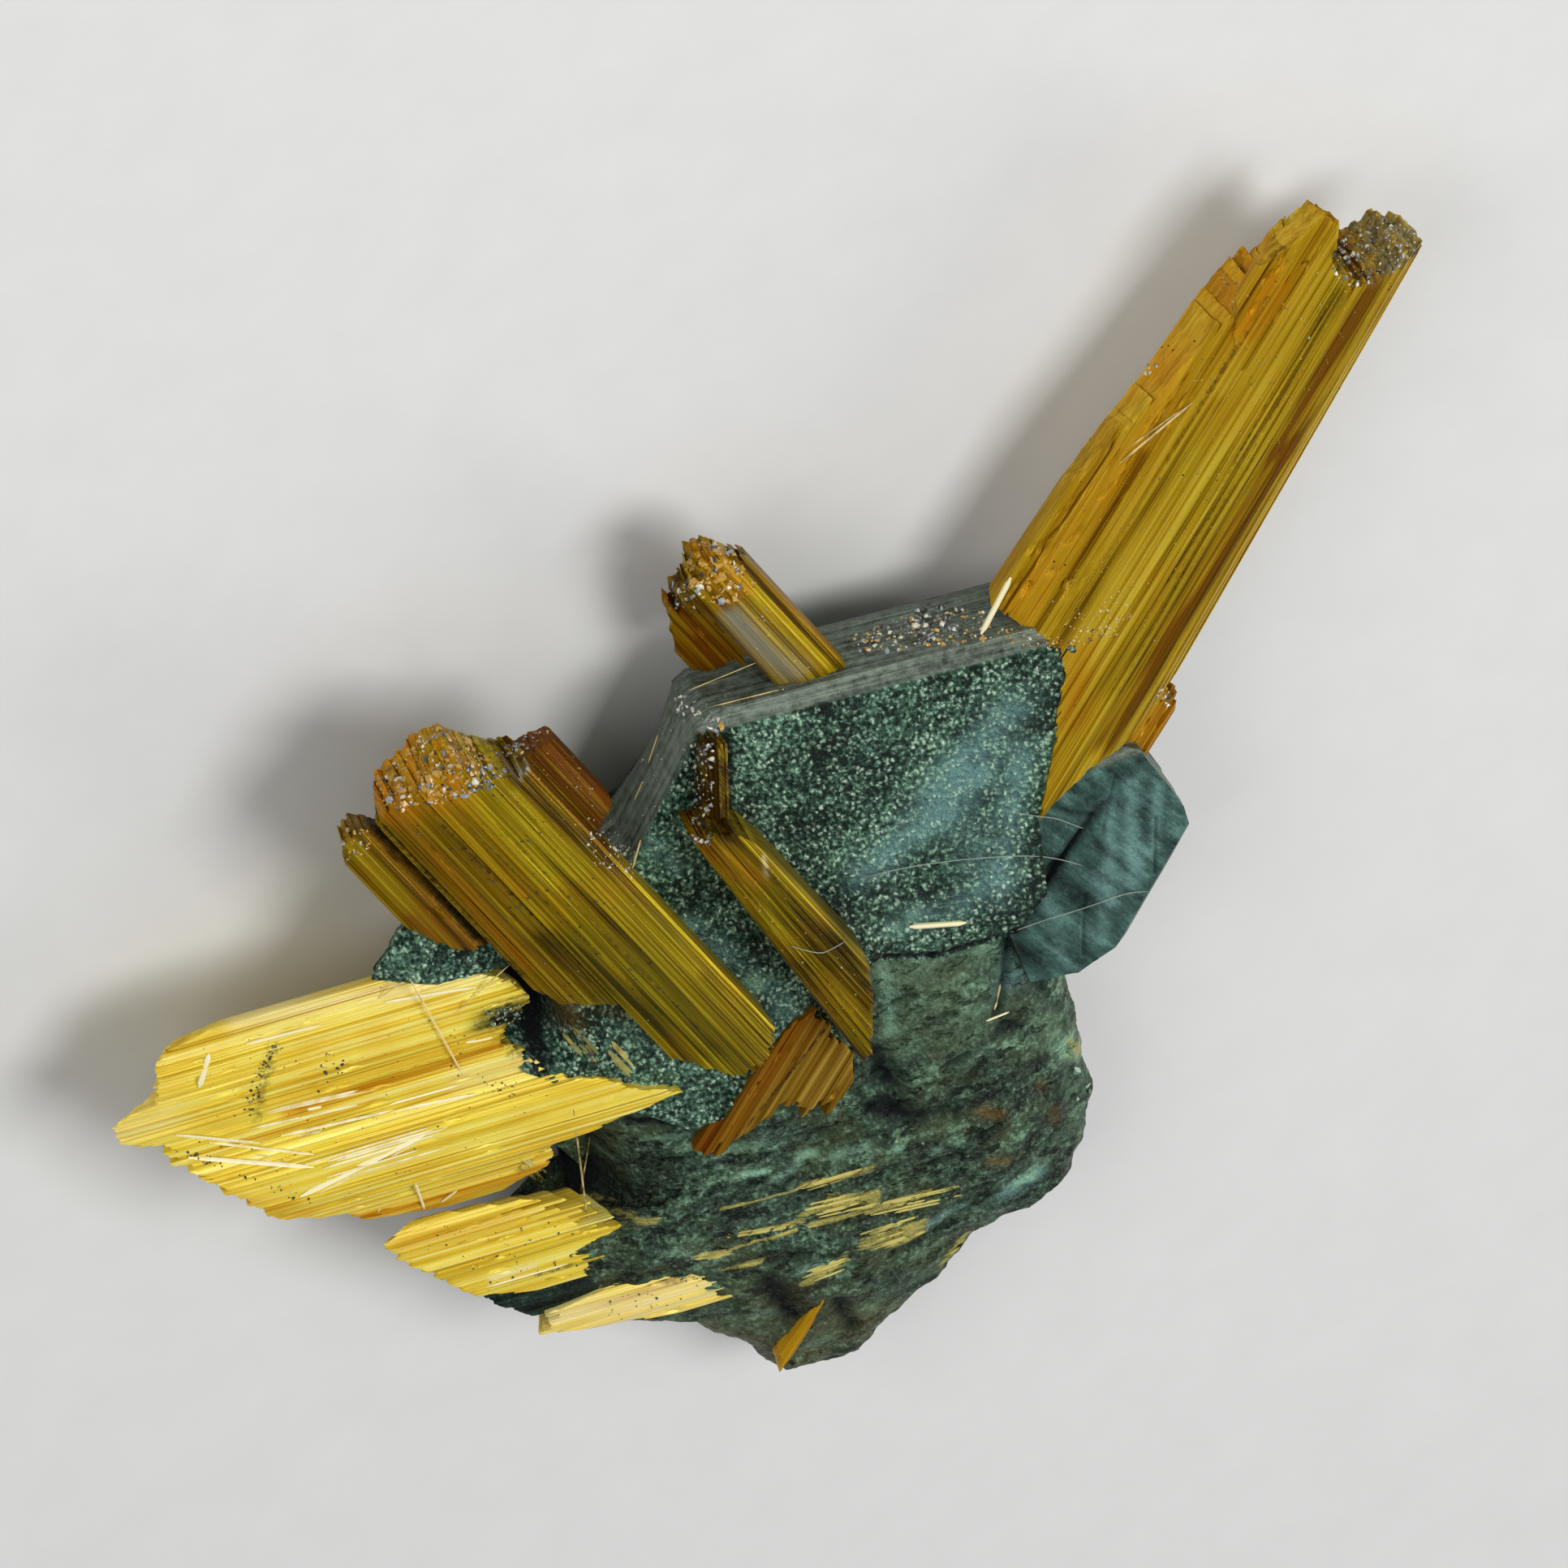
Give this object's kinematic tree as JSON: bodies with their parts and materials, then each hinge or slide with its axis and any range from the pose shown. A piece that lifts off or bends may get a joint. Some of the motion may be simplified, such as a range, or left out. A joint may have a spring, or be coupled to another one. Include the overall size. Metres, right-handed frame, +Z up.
{
  "type": "rutile on hematite specimen",
  "caption": "Golden striated rutile prisms and pale straw rutile bundles grown in three directions on a dark tabular hematite crystal, lying on its rough hematite base.",
  "frame": {"origin": "a point near the middle of the flat face that the specimen rests on", "axes": "+Z up, along the normal of the hematite's basal face; +X along the specimen's longest side, towards the pale rutile bundles; +Y towards the rough lower end of the hematite, so that the camera stands on the -Y side"},
  "size_m": [0.0239, 0.0187, 0.0036],
  "materials": {
    "hematite": "dark pebbled crystal face with a metallic glint, rough where broken",
    "hematite_blue": "satin blue-grey sheen with soft streaks",
    "rutile_golden": "silky, finely striated lengthwise",
    "rutile_olive": "silky, finely striated lengthwise",
    "rutile_brown": "splintery with a dull sheen",
    "rutile_orange": "glowing amber, slightly translucent",
    "rutile_pale": "pale straw, fibrous and silky"
  },
  "bodies": {
    "root": {"hematite_crystal": "hematite", "hematite_side_plate": "hematite_blue", "rutile_spear": "rutile_golden", "rutile_spear_foot": "rutile_orange", "rutile_top_stub": "rutile_olive", "rutile_left_prism": "rutile_olive", "rutile_left_rear": "rutile_olive", "rutile_centre_blade": "rutile_olive", "rutile_brown_wedge": "rutile_brown", "rutile_fan_upper": "rutile_pale", "rutile_fan_lower": "rutile_pale", "rutile_fan_edge": "rutile_pale", "rutile_orange_sliver": "rutile_orange"}
  },
  "joints": []
}
